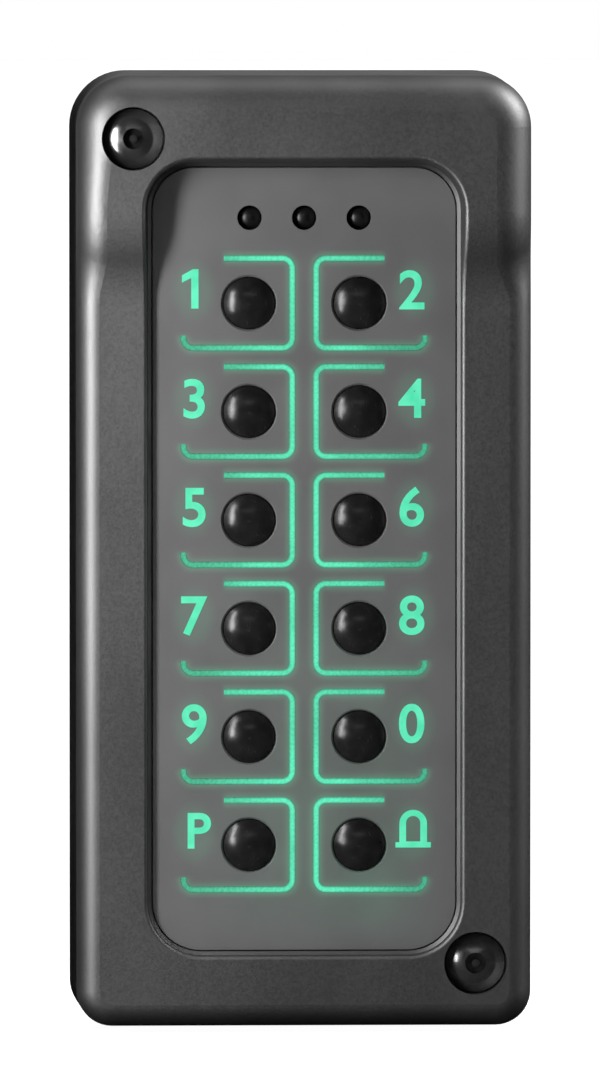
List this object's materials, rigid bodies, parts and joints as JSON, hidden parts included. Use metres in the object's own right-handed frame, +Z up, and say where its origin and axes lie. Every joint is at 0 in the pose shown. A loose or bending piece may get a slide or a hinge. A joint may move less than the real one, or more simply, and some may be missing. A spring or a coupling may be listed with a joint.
{
  "type": "keypad access reader",
  "caption": "Upright wall keypad reader in a die-cast housing with a raised brow, a recessed legend plate, sprung metal keys and status lamps.",
  "frame": {"origin": "middle of the back, in the plane that lies on the wall", "axes": "+X to the right seen from the front, +Y into the wall, +Z up; the keys face -Y"},
  "size_m": [0.06, 0.027, 0.1244],
  "materials": {
    "housing": "die-cast shell, fine-textured dark grey powder coat",
    "zinc_plate": "zinc-plated steel sheet",
    "steel": "bright plated",
    "dark_steel": "black chrome, polished",
    "key_metal": "black chrome, polished",
    "rubber": "moulded rubber",
    "legend_plate": "satin grey lacquer",
    "light_guide": "translucent, lit green from behind",
    "white_plastic": "moulded white",
    "silicone": "translucent silicone",
    "carbon": "carbon pill",
    "board": "glass-epoxy with green solder mask",
    "status_lamp": "dark tinted lens",
    "lamp_chip": "moulded lamp",
    "terminal_green": "moulded nylon",
    "relay_case": "moulded case",
    "coil_case": "ferrite block",
    "chip_case": "moulded epoxy",
    "can_metal": "drawn can",
    "sensor_case": "coated ceramic"
  },
  "bodies": {
    "reader": {"front_housing": "housing", "back_plate": "zinc_plate", "press_nuts": "steel", "cable_grommet": "rubber", "rim_seal": "rubber", "plate_gasket": "rubber", "cover_screw_1": "dark_steel", "cover_screw_2": "dark_steel", "legend_plate": "legend_plate", "light_guide": "light_guide", "light_frame": "white_plastic", "keypad_mat": "silicone", "main_board": "board", "board_screws": "steel", "status_lamp_1": "status_lamp", "status_lamp_2": "status_lamp", "status_lamp_3": "status_lamp", "backlight_lamps": "lamp_chip", "terminal_block": "terminal_green", "terminal_screws": "steel", "relay": "relay_case", "power_coil": "coil_case", "microcontroller": "chip_case", "buzzer": "chip_case", "capacitor": "can_metal", "tamper_sensor": "sensor_case"},
    "key_1_body": {"key_1": "key_metal", "contact_pill_1": "carbon"},
    "key_2_body": {"key_2": "key_metal", "contact_pill_2": "carbon"},
    "key_3_body": {"key_3": "key_metal", "contact_pill_3": "carbon"},
    "key_4_body": {"key_4": "key_metal", "contact_pill_4": "carbon"},
    "key_5_body": {"key_5": "key_metal", "contact_pill_5": "carbon"},
    "key_6_body": {"key_6": "key_metal", "contact_pill_6": "carbon"},
    "key_7_body": {"key_7": "key_metal", "contact_pill_7": "carbon"},
    "key_8_body": {"key_8": "key_metal", "contact_pill_8": "carbon"},
    "key_9_body": {"key_9": "key_metal", "contact_pill_9": "carbon"},
    "key_0_body": {"key_0": "key_metal", "contact_pill_0": "carbon"},
    "key_p_body": {"key_p": "key_metal", "contact_pill_p": "carbon"},
    "key_bell_body": {"key_bell": "key_metal", "contact_pill_bell": "carbon"}
  },
  "joints": [
    {"name": "key_1_press", "type": "slide", "parent": "reader", "child": "key_1_body", "axis": [0, 1, 0], "range_m": [0, 0.001], "stiffness_N_per_m": 1200, "springref_m": -0.0005, "deforming": ["keypad_mat"]},
    {"name": "key_2_press", "type": "slide", "parent": "reader", "child": "key_2_body", "axis": [0, 1, 0], "range_m": [0, 0.001], "stiffness_N_per_m": 1200, "springref_m": -0.0005, "deforming": ["keypad_mat"]},
    {"name": "key_3_press", "type": "slide", "parent": "reader", "child": "key_3_body", "axis": [0, 1, 0], "range_m": [0, 0.001], "stiffness_N_per_m": 1200, "springref_m": -0.0005, "deforming": ["keypad_mat"]},
    {"name": "key_4_press", "type": "slide", "parent": "reader", "child": "key_4_body", "axis": [0, 1, 0], "range_m": [0, 0.001], "stiffness_N_per_m": 1200, "springref_m": -0.0005, "deforming": ["keypad_mat"]},
    {"name": "key_5_press", "type": "slide", "parent": "reader", "child": "key_5_body", "axis": [0, 1, 0], "range_m": [0, 0.001], "stiffness_N_per_m": 1200, "springref_m": -0.0005, "deforming": ["keypad_mat"]},
    {"name": "key_6_press", "type": "slide", "parent": "reader", "child": "key_6_body", "axis": [0, 1, 0], "range_m": [0, 0.001], "stiffness_N_per_m": 1200, "springref_m": -0.0005, "deforming": ["keypad_mat"]},
    {"name": "key_7_press", "type": "slide", "parent": "reader", "child": "key_7_body", "axis": [0, 1, 0], "range_m": [0, 0.001], "stiffness_N_per_m": 1200, "springref_m": -0.0005, "deforming": ["keypad_mat"]},
    {"name": "key_8_press", "type": "slide", "parent": "reader", "child": "key_8_body", "axis": [0, 1, 0], "range_m": [0, 0.001], "stiffness_N_per_m": 1200, "springref_m": -0.0005, "deforming": ["keypad_mat"]},
    {"name": "key_9_press", "type": "slide", "parent": "reader", "child": "key_9_body", "axis": [0, 1, 0], "range_m": [0, 0.001], "stiffness_N_per_m": 1200, "springref_m": -0.0005, "deforming": ["keypad_mat"]},
    {"name": "key_0_press", "type": "slide", "parent": "reader", "child": "key_0_body", "axis": [0, 1, 0], "range_m": [0, 0.001], "stiffness_N_per_m": 1200, "springref_m": -0.0005, "deforming": ["keypad_mat"]},
    {"name": "key_p_press", "type": "slide", "parent": "reader", "child": "key_p_body", "axis": [0, 1, 0], "range_m": [0, 0.001], "stiffness_N_per_m": 1200, "springref_m": -0.0005, "deforming": ["keypad_mat"]},
    {"name": "key_bell_press", "type": "slide", "parent": "reader", "child": "key_bell_body", "axis": [0, 1, 0], "range_m": [0, 0.001], "stiffness_N_per_m": 1200, "springref_m": -0.0005, "deforming": ["keypad_mat"]}
  ]
}
